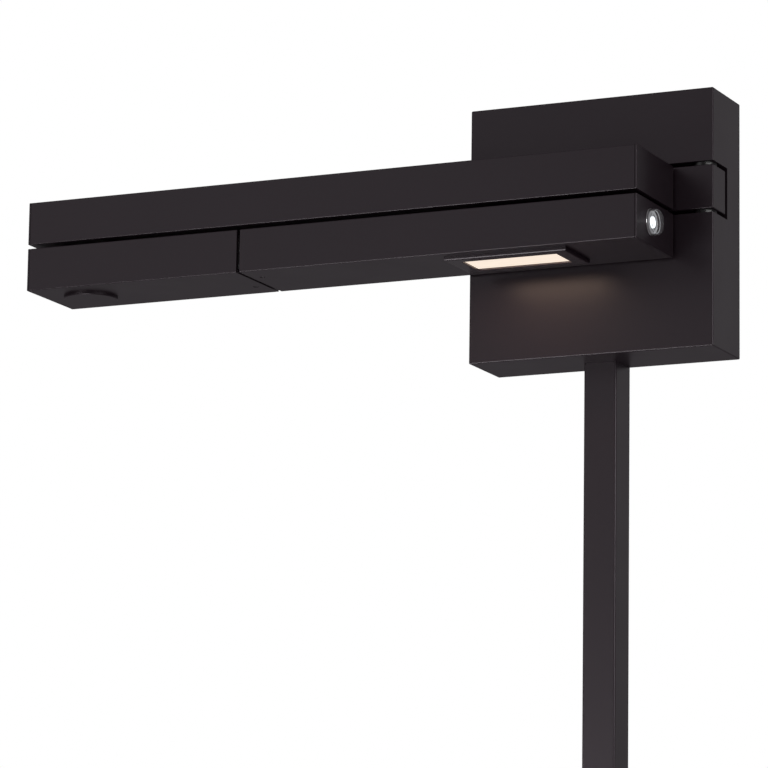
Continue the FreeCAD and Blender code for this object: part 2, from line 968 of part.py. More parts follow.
def driver_input_lead():
    """From the terminal block's top to the driver's side."""
    level = "driver_z + driver_height / 8"
    x = "block_x - block_pitch"
    y = "(driver_depth / 2 + driver_round - plate_depth + plate_wall + bracket_thick)"
    points = [
        (x, "block_wire_y", "block_z + block_height / 4"),
        (x, "block_wire_y", level),
        (x, y, level),
        ("driver_x + driver_width / 2 + face_gap", y, level),
    ]
    return lead("driver_input_lead", points, "lead_bend")


def driver_output_lead():
    """From the driver's side to the swing pin, and up its bore."""
    level = "driver_z + driver_height / 4"
    points = [
        ("driver_x + driver_width / 2 + face_gap", "pivot_y", level),
        ("pivot_x", "pivot_y", level),
        ("pivot_x", "pivot_y", "upper_mid_z - lead_radius - lead_joint_gap"),
    ]
    return lead("driver_output_lead", points, "lead_wide_bend")


# ---------------------------------------------------------------- upper arm group


def clamp_places():
    """Where the four clamp screws are: sheet formulas for X and Z."""
    return [
        (x, "upper_mid_z %s clamp_rise" % side)
        for x in ("clamp_x_left", "clamp_x_right")
        for side in ("-", "+")
    ]


def swing_knuckle():
    """The solid link in the recess. Its rear right corner is rounded, to clear the recess as it turns."""
    mid_x = "(knuckle_left + knuckle_width / 2)"
    mid_y = "(knuckle_depth / 2 - plate_depth)"
    body = new_body("swing_knuckle", mid_x, mid_y, "upper_bottom")
    outline = rectangle(body, "XY_Plane", "knuckle_width", "knuckle_depth")
    pad(body, outline, "bar_height")
    half_width = value("knuckle_width") / 2
    half_depth = value("knuckle_depth") / 2

    def rear_right(edge):
        if not runs_along(edge, 2):
            return False
        corner = edge.Vertexes[0].Point
        return corner.x > half_width - 0.1 and corner.y > half_depth - 0.1

    def outer_edge(edge):
        low = edge.BoundBox
        in_front = low.YMax < 0.1 - half_depth
        at_right = low.XMin > half_width - 0.1
        return in_front or at_right

    fillet(body, "knuckle_corner", rear_right)
    fillet(body, "knuckle_round", outer_edge)
    pin_x = "pivot_x - %s" % mid_x
    pin_y = "pivot_y - %s" % mid_y
    pocket(body, circle(body, "XY_Plane", "bush_radius + fixed_gap", u=pin_x, v=pin_y))
    half_bar = "bar_height / 2"
    channel = circle(body, "YZ_Plane", "lead_hole", u=pin_y, v=half_bar, lift=pin_x)
    pocket(body, channel, "knuckle_width")
    exit_x = "spacer_x - %s" % mid_x
    way_out = circle(body, "XZ_Plane", "lead_hole", u=exit_x, v=half_bar)
    pocket(body, way_out, "knuckle_depth", backwards=True)
    for x, z in clamp_places():
        hole = circle(
            body,
            "XZ_Plane",
            "clamp_hole",
            u="%s - %s" % (x, mid_x),
            v="%s - upper_bottom" % z,
            lift="knuckle_depth / 2 - clamp_reach - lead_hole / 2",
        )
        pocket(body, hole, "knuckle_depth", backwards=True)
    return body


def knuckle_bushes():
    """Two plain bushes, one at each end of the knuckle's bore."""
    inner = "pivot_radius + running_gap"
    lower = ring(
        "bush_lower", "bush_radius", inner, "bush_length", "pivot_x", "pivot_y", "upper_bottom"
    )
    upper = ring(
        "bush_upper",
        "bush_radius",
        inner,
        "bush_length",
        "pivot_x",
        "pivot_y",
        "upper_top - bush_length",
    )
    return group("knuckle_bushes", [lower, upper])


def knuckle_spacer():
    """The plate between the knuckle and the upper bar."""
    body = new_body("knuckle_spacer", "spacer_x", "-plate_depth", "upper_mid_z")
    pad(body, rectangle(body, "XZ_Plane", "spacer_width", "spacer_height"), "arm_clear")
    for x, z in clamp_places():
        hole = circle(
            body, "XZ_Plane", "clamp_hole", u="%s - spacer_x" % x, v="%s - upper_mid_z" % z
        )
        pocket(body, hole)
    pocket(body, circle(body, "XZ_Plane", "lead_hole"))
    return body


def knuckle_screws():
    """Cap screws from inside the upper bar, through its rear wall and the spacer."""
    steps = [
        ("clamp_head_radius", "clamp_head"),
        ("clamp_radius", "bar_wall + arm_clear + clamp_reach"),
    ]
    screws = [
        screw(
            "knuckle_screw_%d" % number,
            steps,
            ("clamp_socket_flats", "clamp_socket_depth"),
            x,
            "inner_rear_y - clamp_head",
            z,
            ABOUT_Y,
        )
        for number, (x, z) in enumerate(clamp_places())
    ]
    return group("knuckle_screws", screws)


def bar_tube(label, left, length, mid_z):
    """A rectangular tube along X with rounded long edges, in its own frame from its left end."""
    body = new_body(label, left, "arm_mid_y", mid_z)
    pad(body, rectangle(body, "YZ_Plane", "arm_depth", "bar_height"), length)
    fillet(body, "bar_round", lambda edge: runs_along(edge, 0))
    pocket(body, rectangle(body, "YZ_Plane", "inner_depth", "inner_height"))
    return body


def upper_arm_tube():
    """The upper bar, with holes for the clamp screws, the lead and the elbow axle."""
    left = "(arm_left + cap_thickness)"
    body = bar_tube("upper_arm_tube", left, "arm_length - 2 * cap_thickness", "upper_mid_z")
    for x, z in clamp_places():
        hole = circle(
            body, "XZ_Plane", "clamp_hole", u="%s - %s" % (x, left), v="%s - upper_mid_z" % z
        )
        pocket(body, hole, "arm_depth")
    pocket(body, circle(body, "XZ_Plane", "lead_hole", u="spacer_x - %s" % left), "arm_depth")
    axle = circle(body, "XY_Plane", "axle_radius + fixed_gap", u="elbow_x - %s" % left)
    pocket(body, axle, "bar_height")
    return body


def end_cap(label, x, mid_z, turn=None):
    """A cap that closes a bar: an outer plate with crisp rounded edges, and a hollow plug."""
    body = new_body(label, x, "arm_mid_y", mid_z, turn)
    pad(body, rectangle(body, "YZ_Plane", "arm_depth", "bar_height"), "cap_thickness - cap_seam")
    fillet(body, "bar_round", lambda edge: runs_along(edge, 0))
    plate_end = value("cap_thickness - cap_seam")
    fillet(body, "cap_round", lambda edge: edge.BoundBox.XMin > plate_end - 0.01)
    plug_depth = "(inner_depth - 2 * plug_gap)"
    plug_height = "(inner_height - 2 * plug_gap)"
    plug = rectangle(body, "YZ_Plane", plug_depth, plug_height)
    pad(body, plug, "plug_length", backwards=True)
    inside = rectangle(
        body,
        "YZ_Plane",
        plug_depth + " - 2 * plug_wall",
        plug_height + " - 2 * plug_wall",
        lift="-plug_length",
    )
    pocket(body, inside, "plug_length", backwards=True)
    return body


def right_cap(label, mid_z):
    return end_cap(label, "arm_end - cap_thickness + cap_seam", mid_z)


def left_cap(label, mid_z):
    return end_cap(label, "arm_left + cap_thickness - cap_seam", mid_z, HALF_TURN)


def upper_arm_caps():
    """The upper bar's two caps, one at each end."""
    outer = left_cap("upper_cap_outer", "upper_mid_z")
    inner = right_cap("upper_cap_inner", "upper_mid_z")
    return group("upper_arm_caps", [outer, inner])


def elbow_axle():
    """The hollow axle, with its flange inside the elbow and its thread end in the upper bar."""
    stem = "axle_top - axle_flange_low - axle_flange"
    steps = [("axle_flange_radius", "axle_flange"), ("axle_radius", stem)]
    return turned("elbow_axle", steps, "axle_bore", "elbow_x", "arm_mid_y", "axle_flange_low")


def elbow_axle_nut():
    return nut(
        "elbow_axle_nut",
        "axle_nut_flats",
        "axle_radius + fixed_gap",
        "nut_height",
        "elbow_x",
        "arm_mid_y",
        "upper_bottom + bar_wall + face_gap",
    )


def elbow_thrust_washer():
    """The washer that sets the gap between the two bars."""
    return ring(
        "elbow_thrust_washer",
        "thrust_radius",
        "axle_radius + running_gap",
        "bar_gap - face_gap",
        "elbow_x",
        "arm_mid_y",
        "lower_top + face_gap",
    )


def elbow_spring_washer():
    return ring(
        "elbow_spring_washer",
        "axle_flange_radius",
        "axle_radius + running_gap",
        "spring_washer_thick",
        "elbow_x",
        "arm_mid_y",
        "axle_flange_low + axle_flange + face_gap",
    )


def arm_lead():
    """From the swing pin's window through the knuckle, along the upper bar and down the axle."""
    points = [
        ("pivot_x", "pivot_y", "upper_mid_z"),
        ("spacer_x", "pivot_y", "upper_mid_z"),
        ("spacer_x", "arm_mid_y", "upper_mid_z"),
        ("elbow_x", "arm_mid_y", "upper_mid_z"),
        ("elbow_x", "arm_mid_y", "upper_bottom"),
    ]
    return lead("arm_lead", points, "lead_bend")


# ---------------------------------------------------------------- elbow group


def elbow_tube():
    """The lower bar's left section, with a bush hole above, a disc hole below and a grub hole."""
    left = "(arm_left + cap_thickness)"
    body = bar_tube("elbow_tube", left, "elbow_length - cap_thickness", "lower_mid_z")
    axis_x = "elbow_x - %s" % left
    bush = circle(body, "XY_Plane", "elbow_bush_radius + fixed_gap", u=axis_x)
    pocket(body, bush, "bar_height", backwards=True)
    pocket(body, circle(body, "XY_Plane", "disc_hole_radius", u=axis_x), "bar_height")
    grub = circle(
        body,
        "XY_Plane",
        "grub_radius + running_gap",
        u="split_left - grub_inset - %s" % left,
        v="grub_offset",
    )
    pocket(body, grub, "bar_height")
    return body


def elbow_bush():
    """The bush in the elbow's upper wall, with its flange inside."""
    steps = [
        ("elbow_bush_flange_radius", "elbow_bush_flange"),
        ("elbow_bush_radius", "bar_wall - face_gap"),
    ]
    low = "lower_top - bar_wall - elbow_bush_flange"
    return turned("elbow_bush", steps, "axle_radius + running_gap", "elbow_x", "arm_mid_y", low)


def elbow_friction_washer():
    top = "lower_top - bar_wall - elbow_bush_flange - face_gap"
    return ring(
        "elbow_friction_washer",
        "friction_radius",
        "axle_radius + running_gap",
        "friction_thick",
        "elbow_x",
        "arm_mid_y",
        top + " - friction_thick",
    )


def elbow_cover_disc():
    """The flat disc that closes the elbow's underside below the axle."""
    steps = [("disc_radius", "disc_proud"), ("disc_plug_radius", "disc_plug")]
    low = "lower_bottom - disc_proud"
    body = turned("elbow_cover_disc", steps, None, "elbow_x", "arm_mid_y", low)
    chamfer(
        body,
        "disc_proud / 4",
        lambda edge: edge.BoundBox.ZMax < 0.01 and edge.BoundBox.ZMin > -0.01,
    )
    return body


def bulkhead(label, left, length, hole, grub_x, grub_y):
    """A block that fills a bar's end and carries the roll shaft."""
    mid_z = "lower_mid_z"
    body = new_body(label, left, "arm_mid_y", mid_z)
    outline = rectangle(
        body, "YZ_Plane", "inner_depth - 2 * plug_gap", "inner_height - 2 * plug_gap"
    )
    pad(body, outline, length)
    pocket(body, circle(body, "YZ_Plane", hole))
    grub = circle(
        body,
        "XY_Plane",
        "grub_radius + running_gap",
        u="%s - %s" % (grub_x, left),
        v=grub_y,
        lift="grub_length + grub_recess + lead_radius - bar_height / 2",
    )
    pocket(body, grub, "bar_height")
    return body


def elbow_bulkhead():
    return bulkhead(
        "elbow_bulkhead",
        "(split_left - bulkhead_length)",
        "bulkhead_length",
        "roll_radius + fixed_gap",
        "(split_left - grub_inset)",
        "grub_offset",
    )


def grub_screw(label, x, y):
    """A small grub screw from below, just under flush."""
    return screw(
        label,
        [("grub_radius", "grub_length")],
        ("grub_radius", "grub_radius"),
        x,
        y,
        "lower_bottom + grub_recess",
        Rotation(),
    )


def elbow_grub_screw():
    return grub_screw("elbow_grub_screw", "split_left - grub_inset", "arm_mid_y + grub_offset")


def roll_shaft():
    """The hollow shaft that is fixed in the elbow and carries the head."""
    left = "(split_left - bulkhead_length - face_gap - roll_flange)"
    end = "(head_left + bulkhead_length + face_gap + roll_nut + roll_tail)"
    steps = [("roll_flange_radius", "roll_flange"), ("roll_radius", "%s - %s - roll_flange" % (end, left))]
    return turned("roll_shaft", steps, "roll_bore", left, "arm_mid_y", "lower_mid_z", ABOUT_X)


def roll_washer():
    """The washer in the gap between the elbow and the head."""
    return ring(
        "roll_washer",
        "roll_washer_radius",
        "roll_radius + fixed_gap",
        "split_gap - 2 * face_gap",
        "split_left + face_gap",
        "arm_mid_y",
        "lower_mid_z",
        ABOUT_X,
    )


def roll_nut():
    """The nut on the shaft's end that keeps the head on."""
    return nut(
        "roll_nut",
        "roll_nut_flats",
        "roll_radius + fixed_gap",
        "roll_nut",
        "head_left + bulkhead_length + face_gap",
        "arm_mid_y",
        "lower_mid_z",
        ABOUT_X,
    )


def elbow_lead():
    """Down the elbow axle and along the roll shaft."""
    points = [
        ("elbow_x", "arm_mid_y", "upper_bottom - lead_joint_gap"),
        ("elbow_x", "arm_mid_y", "lower_mid_z"),
        ("split_left + (split_gap - lead_joint_gap) / 2", "arm_mid_y", "lower_mid_z"),
    ]
    return lead("elbow_lead", points, "lead_wide_bend")


# ---------------------------------------------------------------- head group


def head_tube():
    """The lower bar's right section, with the light unit's opening and a grub hole below."""
    left = "head_left"
    body = bar_tube("head_tube", left, "arm_end - cap_thickness - head_left", "lower_mid_z")
    opening = rectangle(
        body,
        "XY_Plane",
        "bezel_width - 2 * neck_inset + 2 * plug_gap",
        "bezel_depth - 2 * neck_inset + 2 * plug_gap",
        u="bezel_x - head_left",
        v="-bezel_forward",
    )
    pocket(body, opening, "bar_height")
    grub = circle(
        body, "XY_Plane", "grub_radius + running_gap", u="grub_inset", v="-grub_offset"
    )
    pocket(body, grub, "bar_height")
    return body


def head_bulkhead():
    return bulkhead(
        "head_bulkhead",
        "head_left",
        "bulkhead_length",
        "roll_bush_radius + fixed_gap",
        "(head_left + grub_inset)",
        "-grub_offset",
    )


def head_grub_screw():
    return grub_screw("head_grub_screw", "head_left + grub_inset", "arm_mid_y - grub_offset")


def roll_bush():
    return ring(
        "roll_bush",
        "roll_bush_radius",
        "roll_radius + running_gap",
        "bulkhead_length",
        "head_left",
        "arm_mid_y",
        "lower_mid_z",
        ABOUT_X,
    )


def head_end_cap():
    """The head's end cap, with the button's hole."""
    body = right_cap("head_end_cap", "lower_mid_z")
    pocket(body, circle(body, "YZ_Plane", "button_neck_radius + fixed_gap", u="-button_forward"))
    return body


def light_bezel():
    """The frame of the light window: a proud flange, a neck into the bar and a ledge inside."""
    body = new_body("light_bezel", "bezel_x", "bezel_y", "lower_bottom")
    flange = rectangle(body, "XY_Plane", "bezel_width", "bezel_depth")
    pad(body, flange, "bezel_proud", backwards=True)
    low = -value("bezel_proud")
    fillet(body, "bezel_round", lambda edge: edge.BoundBox.ZMax < low + 0.01)
    neck = rectangle(
        body, "XY_Plane", "bezel_width - 2 * neck_inset", "bezel_depth - 2 * neck_inset"
    )
    pad(body, neck, "neck_height")
    pocket(body, rectangle(body, "XY_Plane", "window_width", "window_depth"))
    half_width = value("window_width") / 2 + 0.1
    half_depth = value("window_depth") / 2 + 0.1

    def window_rim(edge):
        edge_box = edge.BoundBox
        at_face = edge_box.ZMax < low + 0.01
        inside = abs(edge_box.Center.x) < half_width and abs(edge_box.Center.y) < half_depth
        return at_face and inside

    chamfer(body, "window_chamfer", window_rim)
    ledge = rectangle(
        body,
        "XY_Plane",
        "window_width + 2 * diffuser_ledge",
        "window_depth + 2 * diffuser_ledge",
        lift="neck_height",
    )
    pocket(body, ledge, "neck_height + bezel_proud - diffuser_recess - diffuser_lower")
    for x, y in board_screw_places():
        pocket(body, circle(body, "XY_Plane", "board_screw_hole", u=x, v=y, lift="neck_height"),
               "board_screw_reach + face_gap")
    return body


def board_screw_places():
    """Where the four board screws are, from the light unit's centre."""
    return [
        (x_side + "board_screw_x", y_side + "board_screw_y")
        for x_side in ("-", "")
        for y_side in ("-", "")
    ]


def diffuser():
    """The lit window: a plate that rests with its rim on the bezel's ledge."""
    body = new_body("diffuser", "bezel_x", "bezel_y", "bezel_low + diffuser_recess")
    lower = rectangle(
        body, "XY_Plane", "window_width - 2 * diffuser_gap", "window_depth - 2 * diffuser_gap"
    )
    pad(body, lower, "diffuser_lower + face_gap")
    rim = "2 * diffuser_ledge - 2 * diffuser_gap"
    upper = rectangle(
        body,
        "XY_Plane",
        "window_width + " + rim,
        "window_depth + " + rim,
        lift="diffuser_lower + face_gap",
    )
    pad(body, upper, "diffuser_upper")
    return body


def led_board():
    body = new_body("led_board", "bezel_x", "bezel_y", "neck_top + face_gap")
    pad(body, rectangle(body, "XY_Plane", "board_width", "board_depth"), "board_thick")
    for x, y in board_screw_places():
        pocket(body, circle(body, "XY_Plane", "board_screw_hole", u=x, v=y))
    return body


def led_chips():
    """Two rows of LEDs that hang from the board, over the window."""
    chips = [
        box(
            "led_chip_%d_%d" % (row, column),
            ("chip_width", "chip_width", "chip_height"),
            (
                "bezel_x + (%.1f) * chip_pitch - chip_width / 2" % (column - 2.5),
                "bezel_y + (%.1f) * chip_row_gap - chip_width / 2" % (row - 0.5),
                "neck_top + face_gap - chip_height",
            ),
        )
        for row in range(2)
        for column in range(6)
    ]
    return group("led_chips", chips)


def heat_sink():
    """A finned aluminium block on the board. The fins stop short of the screws."""
    body = new_body("heat_sink", "bezel_x", "bezel_y", "board_top + face_gap", HALF_TURN)
    pad(body, rectangle(body, "XY_Plane", "board_width", "board_depth"), "sink_base")
    fins = 7
    span = "%d * fin_pitch" % (fins - 1)
    fin_sketch = rectangle(
        body, "XY_Plane", "fin_length", "fin_thick", v="-(%s) / 2" % span, lift="sink_base"
    )
    fin = pad(body, fin_sketch, "fin_height")
    row = body.newObject("PartDesign::LinearPattern", "fin_row")
    row.Originals = [fin]
    row.Direction = (fin_sketch, ["V_Axis"])
    bind(row, "Length", span)
    row.Occurrences = fins
    body.Tip = row
    for x, y in board_screw_places():
        pocket(body, circle(body, "XY_Plane", "board_screw_hole", u=x, v=y))
    return body


def board_screws():
    """Four screws through the heat sink and board into the bezel's neck."""
    steps = [
        ("board_screw_head", "board_screw_head_high"),
        ("board_screw_radius", "sink_base + board_thick + 2 * face_gap + board_screw_reach"),
    ]
    screws = [
        screw(
            "board_screw_%d" % number,
            steps,
            ("board_screw_radius * 1.5", "board_screw_head_high / 2"),
            "bezel_x + (%s)" % x,
            "bezel_y + (%s)" % y,
            "sink_top + board_screw_head_high",
            DOWN,
        )
        for number, (x, y) in enumerate(board_screw_places())
    ]
    return group("board_screws", screws)


def button_bezel():
    """The button's fixed socket: a flange on the end cap, a neck through it and a web behind."""
    rear = "(arm_end - button_neck)"
    steps = [("button_neck_radius", "button_neck"), ("button_flange_radius", "button_flange")]
    body = turned("button_bezel", steps, "guide_hole", rear, "button_y", "lower_mid_z", ABOUT_X)
    tip = value("button_neck + button_flange")
    fillet(
        body,
        "button_flange / 3",
        lambda edge: edge.BoundBox.ZMin > tip - 0.01 and edge.BoundBox.XLength > 10,
    )
    well = circle(body, "XY_Plane", "button_bore", lift="button_web")
    pocket(body, well, "button_neck + button_flange", backwards=True)
    return body


def dimmer_switch():
    """The switch behind the button, with its short plunger."""
    left = "(switch_front - switch_plunger - switch_width)"
    body = new_body("dimmer_switch", left, "button_y", "lower_mid_z")
    pad(body, rectangle(body, "YZ_Plane", "switch_depth", "switch_height"), "switch_width")
    fillet(body, "bar_round", lambda edge: runs_along(edge, 0))
    plunger = circle(body, "YZ_Plane", "guide_radius", lift="switch_width")
    pad(body, plunger, "switch_plunger")
    return body


def head_lead():
    """Along the roll shaft to the LED board's left edge."""
    board_left = "(bezel_x - board_width / 2 - face_gap)"
    board_level = "neck_top + lead_radius + 2 * face_gap"
    points = [
        ("head_left - (split_gap - lead_joint_gap) / 2", "arm_mid_y", "lower_mid_z"),
        (board_left + " - 4 * lead_wide_bend", "arm_mid_y", "lower_mid_z"),
        (board_left + " - 2 * lead_wide_bend", "arm_mid_y", board_level),
        (board_left, "arm_mid_y", board_level),
    ]
    return lead("head_lead", points, "lead_wide_bend")


def switch_lead():
    """From the LED board's right edge to the switch."""
    board_right = "(bezel_x + board_width / 2 + face_gap)"
    board_level = "neck_top + lead_radius + 2 * face_gap"
    switch_left = "(switch_front - switch_plunger - switch_width - face_gap)"
    points = [
        (board_right, "button_y", board_level),
        (board_right + " + lead_bend", "button_y", board_level),
        (switch_left + " - lead_bend / 2", "button_y", "lower_mid_z"),
        (switch_left, "button_y", "lower_mid_z"),
    ]
    return lead("switch_lead", points, "lead_radius + running_gap")


# ---------------------------------------------------------------- button group


def button_cap():
    """The clear cap, a thin cup with a rounded front that is open at the back."""
    length = "(button_cap_rear + button_proud)"
    body = turned(
        "button_cap",
        [("button_cap_radius", length)],
        None,
        "cap_rear_x",
        "button_y",
        "lower_mid_z",
        ABOUT_X,
    )
    tip = value(length)
    fillet(body, "button_dome", lambda edge: edge.BoundBox.ZMin > tip - 0.01)
    hollow = circle(body, "XY_Plane", "button_cap_radius - button_wall")
    pocket(body, hollow, length + " - button_wall", backwards=True)
    floor = value(length + " - button_wall")

    def inner_corner(edge):
        return abs(edge.BoundBox.Center.z - floor) < 0.01 and edge.BoundBox.ZLength < 0.01

    fillet(body, "button_dome - button_wall", inner_corner)
    return body


def button_reflector():
    """The white ring inside the cap that holds the light guide."""
    return ring(
        "button_reflector",
        "button_cap_radius - button_wall - fixed_gap",
        "guide_radius + fixed_gap",
        "button_cap_rear + guide_front - guide_proud",
        "cap_rear_x",
        "button_y",
        "lower_mid_z",
        ABOUT_X,
    )


def button_light_guide():
    """The white stem through the ring, whose front end glows."""
    return turned(
        "button_light_guide",
        [("guide_radius", "guide_length")],
        None,
        "arm_end + guide_front - guide_length",
        "button_y",
        "lower_mid_z",
        ABOUT_X,
    )


def button_clip():
    """The clip on the stem that keeps the button in its socket."""
    return ring(
        "button_clip",
        "button_clip_radius",
        "guide_radius + fixed_gap",
        "button_clip",
        "arm_end - button_neck - face_gap - button_clip",
        "button_y",
        "lower_mid_z",
        ABOUT_X,
    )


def button_spring():
    """The coil spring between the socket's web and the cap, as half turns that lean to and fro."""
    wire = value("spring_wire")
    radius = value("spring_radius")
    count = int(value("spring_half_turns"))
    start = value("web_front") + wire + value("face_gap")
    end = value("cap_rear_x") - wire - value("face_gap")
    rise = (end - start) / count
    edges = []
    for turn in range(count):
        side = 1 if turn % 2 == 0 else -1
        low = Vector(side * radius, 0, turn * rise)
        middle = Vector(0, side * radius, (turn + 0.5) * rise)
        high = Vector(-side * radius, 0, (turn + 1) * rise)
        edges.append(Part.Arc(low, middle, high).toShape())
    centre = Vector(start, value("button_y"), value("lower_mid_z"))
    return swept("button_spring", edges, wire, FreeCAD.Placement(centre, ABOUT_X))


# ---------------------------------------------------------------- the whole object


def make_subparts():
    """Every sub-part, group by group."""
    return [
        canopy_shell(),
        wall_bracket(),
        canopy_screws(),
        earth_screw(),
        driver_case(),
        driver_studs(),
        driver_nuts(),
        terminal_block(),
        terminal_screws(),
        swing_pivot_pin(),
        pivot_collars(),
        pivot_wave_washer(),
        pivot_nut(),
        cord_inlet_grommet(),
        cord_cover_front(),
        cord_cover_base(),
        driver_input_lead(),
        driver_output_lead(),
        swing_knuckle(),
        knuckle_bushes(),
        knuckle_spacer(),
        knuckle_screws(),
        upper_arm_tube(),
        upper_arm_caps(),
        elbow_axle(),
        elbow_axle_nut(),
        elbow_thrust_washer(),
        elbow_spring_washer(),
        arm_lead(),
        elbow_tube(),
        left_cap("elbow_end_cap", "lower_mid_z"),
        elbow_bush(),
        elbow_friction_washer(),
        elbow_cover_disc(),
        elbow_bulkhead(),
        elbow_grub_screw(),
        roll_shaft(),
        roll_washer(),
        roll_nut(),
        elbow_lead(),
        head_tube(),
        head_bulkhead(),
        head_grub_screw(),
        roll_bush(),
        head_end_cap(),
        light_bezel(),
        diffuser(),
        led_board(),
        led_chips(),
        heat_sink(),
        board_screws(),
        button_bezel(),
        dimmer_switch(),
        head_lead(),
        switch_lead(),
        button_cap(),
        button_reflector(),
        button_light_guide(),
        button_clip(),
        button_spring(),
    ]


def check_and_export(subparts):
    """Stops on any failed object or bad shape, then writes one STEP file for each sub-part."""
    for item in document.Objects:
        if "Invalid" in item.State or "Error" in item.State:
            raise RuntimeError("%s failed: %s" % (item.Label, item.State))
    for item in subparts:
        shape = item.Shape
        if shape.isNull() or not shape.isValid() or not shape.Solids:
            raise RuntimeError("%s has no valid shape" % item.Label)
    os.makedirs("parts", exist_ok=True)
    for item in subparts:
        item.Shape.exportStep("parts/%s.step" % item.Label)


def main():
    make_sheet()
    subparts = make_subparts()
    document.recompute()
    check_and_export(subparts)
    print("%d sub-parts written" % len(subparts))


main()
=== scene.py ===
"""The looks of a folding wall picture light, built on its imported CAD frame.

Metres, in the frame's own axes: the wall is the plane Y = 0, the lamp stands off it towards -Y,
+X is to the right along the wall and +Z is up.
"""
import json
import math

import bmesh
import bpy
from mathutils import Matrix, Vector


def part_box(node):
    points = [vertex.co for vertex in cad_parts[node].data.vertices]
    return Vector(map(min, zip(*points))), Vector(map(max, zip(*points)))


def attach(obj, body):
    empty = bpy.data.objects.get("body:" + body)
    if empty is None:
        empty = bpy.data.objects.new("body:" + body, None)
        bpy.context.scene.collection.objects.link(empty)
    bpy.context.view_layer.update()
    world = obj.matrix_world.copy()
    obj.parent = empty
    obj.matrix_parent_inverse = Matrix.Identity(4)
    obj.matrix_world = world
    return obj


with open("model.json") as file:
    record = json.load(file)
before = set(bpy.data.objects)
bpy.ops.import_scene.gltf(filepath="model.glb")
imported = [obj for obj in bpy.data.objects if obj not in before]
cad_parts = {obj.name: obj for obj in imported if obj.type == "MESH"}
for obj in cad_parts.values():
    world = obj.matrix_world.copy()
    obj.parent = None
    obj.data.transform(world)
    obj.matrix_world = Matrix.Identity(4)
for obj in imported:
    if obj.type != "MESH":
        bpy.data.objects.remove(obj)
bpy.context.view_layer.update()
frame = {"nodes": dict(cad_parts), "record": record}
NODES = frame["nodes"]
MM = 0.001


# ---------------------------------------------------------------- material nodes


class Paint:
    """A new node material with a few shorthands for its nodes."""

    def __init__(self, name):
        self.material = bpy.data.materials.new(name)
        self.material.use_nodes = True
        self.tree = self.material.node_tree
        self.shader = self.tree.nodes["Principled BSDF"]
        self.place = self.node("ShaderNodeTexCoord").outputs["Object"]

    def node(self, kind):
        return self.tree.nodes.new(kind)

    def link(self, source, target):
        self.tree.links.new(source, target)

    def set(self, **values):
        """Sets shader sockets, such as Roughness=0.4. Underscores stand for spaces."""
        for name, value in values.items():
            self.shader.inputs[name.replace("_", " ")].default_value = value

    def noise(self, scale, detail=2.0, stretch=(1, 1, 1)):
        """Noise in the object's own space: scale in features per metre."""
        mapping = self.node("ShaderNodeMapping")
        mapping.inputs["Scale"].default_value = stretch
        self.link(self.place, mapping.inputs["Vector"])
        noise = self.node("ShaderNodeTexNoise")
        noise.inputs["Scale"].default_value = scale
        noise.inputs["Detail"].default_value = detail
        self.link(mapping.outputs["Vector"], noise.inputs["Vector"])
        return noise.outputs["Fac"]

    def ramp(self, fac, low, high, start=0.3, end=0.7):
        """Blends two colours, or two grey levels, by a factor."""
        ramp = self.node("ShaderNodeValToRGB")
        ramp.color_ramp.elements[0].position = start
        ramp.color_ramp.elements[1].position = end
        ramp.color_ramp.elements[0].color = grey(low)
        ramp.color_ramp.elements[1].color = grey(high)
        self.link(fac, ramp.inputs["Fac"])
        return ramp.outputs["Color"]

    def colour(self, fac, low, high):
        self.link(self.ramp(fac, low, high), self.shader.inputs["Base Color"])

    def rough(self, fac, low, high):
        self.link(self.ramp(fac, low, high), self.shader.inputs["Roughness"])

    def bump(self, *heights):
        """Stacks bumps: each is a factor and its depth in metres."""
        normal = None
        for fac, depth in heights:
            bump = self.node("ShaderNodeBump")
            bump.inputs["Distance"].default_value = depth
            self.link(fac, bump.inputs["Height"])
            if normal is not None:
                self.link(normal, bump.inputs["Normal"])
            normal = bump.outputs["Normal"]
        self.link(normal, self.shader.inputs["Normal"])


def grey(value):
    """A colour with alpha, from a colour or a grey level."""
    if isinstance(value, (int, float)):
        return (value, value, value, 1.0)
    return tuple(value) + (1.0,)


def powder_coat(name, low, high):
    """Satin black-bronze powder coat: a faint orange peel, and a slow drift in tone and roughness.

    Its roughness runs from low to high.
    """
    paint = Paint(name)
    paint.colour(paint.noise(14.0, 2.0), (0.0355, 0.0218, 0.0300), (0.0370, 0.0229, 0.0313))
    paint.rough(paint.noise(30.0, 3.0), low, high)
    paint.set(IOR=1.5, Specular_Tint=(1.0, 0.93, 0.985, 1.0))
    paint.bump((paint.noise(1500.0, 2.0), 3e-6), (paint.noise(4200.0, 1.0), 1e-6))
    return paint.material


def metal(name, low, high, rough, grain, stretch=(1, 1, 1), depth=2e-6):
    """Bare or plated metal with a grain."""
    paint = Paint(name)
    marks = paint.noise(grain, 4.0, stretch)
    paint.colour(marks, low, high)
    paint.rough(marks, rough * 0.85, rough * 1.2)
    paint.set(Metallic=1.0)
    paint.bump((marks, depth))
    return paint.material


def plastic(name, low, high, rough, grain=2500.0, depth=4e-6):
    """Moulded plastic with a fine texture."""
    paint = Paint(name)
    fine = paint.noise(grain, 2.0)
    paint.colour(paint.noise(60.0, 3.0), low, high)
    paint.rough(fine, rough * 0.9, rough * 1.1)
    paint.bump((fine, depth))
    return paint.material


def lit(name, colour, strength, low, high, scale):
    """Opal plastic that is lit from behind, a little brighter in front of each source; on the button's
    rim and step ring, a painted glow that stands in for light from its core.
    """
    paint = Paint(name)
    patches = paint.noise(scale, 1.0)
    paint.colour(patches, low, high)
    dimmer = [channel * 0.97 for channel in colour]
    paint.link(paint.ramp(patches, dimmer, colour), paint.shader.inputs["Emission Color"])
    paint.set(Emission_Strength=strength, Roughness=0.35)
    paint.bump((paint.noise(3000.0, 1.0), 2e-6))
    return paint.material


